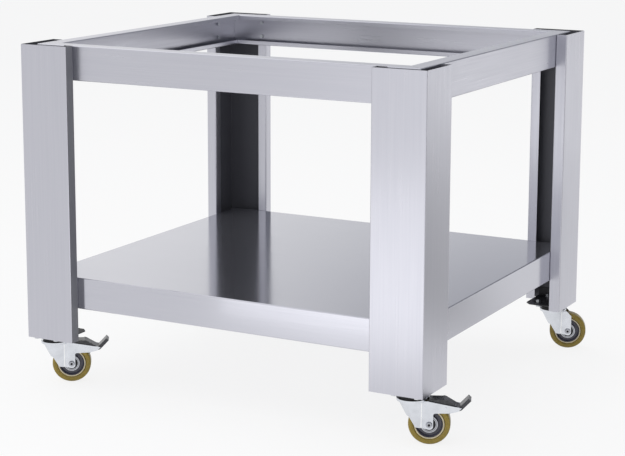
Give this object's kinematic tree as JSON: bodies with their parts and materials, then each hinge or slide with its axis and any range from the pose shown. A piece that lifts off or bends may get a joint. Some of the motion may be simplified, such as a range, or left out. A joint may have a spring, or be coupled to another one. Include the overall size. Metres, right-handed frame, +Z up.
{
  "type": "pizza oven stand",
  "caption": "Open steel stand on swivel casters with folded corner legs, a channel top frame to carry a deck oven, a lower storage shelf and brakes on the front wheels.",
  "frame": {"origin": "on the floor, below the middle of the stand's plan, between the outer faces of the legs", "axes": "+X to the right, seen from the front; +Y to the back; +Z up"},
  "size_m": [1.2157, 1.0439, 0.89],
  "materials": {
    "stainless": "satin",
    "fastener": "satin",
    "zinc": "zinc plated",
    "seal": "matt black",
    "core": "dark grey paint",
    "tread": "mustard polyurethane",
    "bearing": "ground",
    "pedal": "black",
    "shoe": "matt black"
  },
  "bodies": {
    "stand": {"leg_front_left": "stainless", "leg_front_right": "stainless", "leg_rear_left": "stainless", "leg_rear_right": "stainless", "top_rail_front": "stainless", "top_rail_right": "stainless", "top_rail_rear": "stainless", "top_rail_left": "stainless", "shelf_tray": "stainless", "shelf_stiffeners": "stainless", "frame_bolts": "fastener", "frame_nuts": "fastener", "foot_plate_front_left": "stainless", "foot_plate_front_right": "stainless", "foot_plate_rear_left": "stainless", "foot_plate_rear_right": "stainless", "caster_bolts": "zinc", "caster_nuts": "zinc", "caster_plate_front_left": "zinc", "caster_plate_front_right": "zinc", "caster_plate_rear_left": "zinc", "caster_plate_rear_right": "zinc", "king_pin_front_left": "zinc", "king_pin_front_right": "zinc", "king_pin_rear_left": "zinc", "king_pin_rear_right": "zinc"},
    "swivel_front_left": {"fork_front_left": "zinc", "swivel_seal_front_left": "seal", "axle_front_left": "zinc", "pedal_pin_front_left": "zinc"},
    "wheel_front_left": {"wheel_core_front_left": "core", "tread_front_left": "tread", "bearings_front_left": "bearing"},
    "pedal_front_left": {"brake_pedal_front_left": "pedal", "brake_shoe_front_left": "shoe"},
    "swivel_front_right": {"fork_front_right": "zinc", "swivel_seal_front_right": "seal", "axle_front_right": "zinc", "pedal_pin_front_right": "zinc"},
    "wheel_front_right": {"wheel_core_front_right": "core", "tread_front_right": "tread", "bearings_front_right": "bearing"},
    "pedal_front_right": {"brake_pedal_front_right": "pedal", "brake_shoe_front_right": "shoe"},
    "swivel_rear_left": {"fork_rear_left": "zinc", "swivel_seal_rear_left": "seal", "axle_rear_left": "zinc"},
    "wheel_rear_left": {"wheel_core_rear_left": "core", "tread_rear_left": "tread", "bearings_rear_left": "bearing"},
    "swivel_rear_right": {"fork_rear_right": "zinc", "swivel_seal_rear_right": "seal", "axle_rear_right": "zinc"},
    "wheel_rear_right": {"wheel_core_rear_right": "core", "tread_rear_right": "tread", "bearings_rear_right": "bearing"}
  },
  "joints": [
    {"name": "swivel_front_left", "type": "hinge", "parent": "stand", "child": "swivel_front_left", "pos_m": [-0.515, -0.47, 0.107], "axis": [0, 0, 1], "continuous": true},
    {"name": "roll_front_left", "type": "hinge", "parent": "swivel_front_left", "child": "wheel_front_left", "pos_m": [-0.47978, -0.44712, 0.05], "axis": [-0.5446, 0.8387, 0], "continuous": true},
    {"name": "brake_front_left", "type": "hinge", "parent": "swivel_front_left", "child": "pedal_front_left", "pos_m": [-0.44791, -0.42643, 0.091], "axis": [-0.5446, 0.8387, 0], "range_deg": [0, 12]},
    {"name": "swivel_front_right", "type": "hinge", "parent": "stand", "child": "swivel_front_right", "pos_m": [0.515, -0.47, 0.107], "axis": [0, 0, 1], "continuous": true},
    {"name": "roll_front_right", "type": "hinge", "parent": "swivel_front_right", "child": "wheel_front_right", "pos_m": [0.55394, -0.45427, 0.05], "axis": [-0.3746, 0.9272, 0], "continuous": true},
    {"name": "brake_front_right", "type": "hinge", "parent": "swivel_front_right", "child": "pedal_front_right", "pos_m": [0.58918, -0.44003, 0.091], "axis": [-0.3746, 0.9272, 0], "range_deg": [0, 12]},
    {"name": "swivel_rear_left", "type": "hinge", "parent": "stand", "child": "swivel_rear_left", "pos_m": [-0.515, 0.47, 0.107], "axis": [0, 0, 1], "continuous": true},
    {"name": "roll_rear_left", "type": "hinge", "parent": "swivel_rear_left", "child": "wheel_rear_left", "pos_m": [-0.47725, 0.48841, 0.05], "axis": [-0.4384, 0.8988, 0], "continuous": true},
    {"name": "swivel_rear_right", "type": "hinge", "parent": "stand", "child": "swivel_rear_right", "pos_m": [0.515, 0.47, 0.107], "axis": [0, 0, 1], "continuous": true},
    {"name": "roll_rear_right", "type": "hinge", "parent": "swivel_rear_right", "child": "wheel_rear_right", "pos_m": [0.55447, 0.48436, 0.05], "axis": [-0.342, 0.9397, 0], "continuous": true}
  ]
}
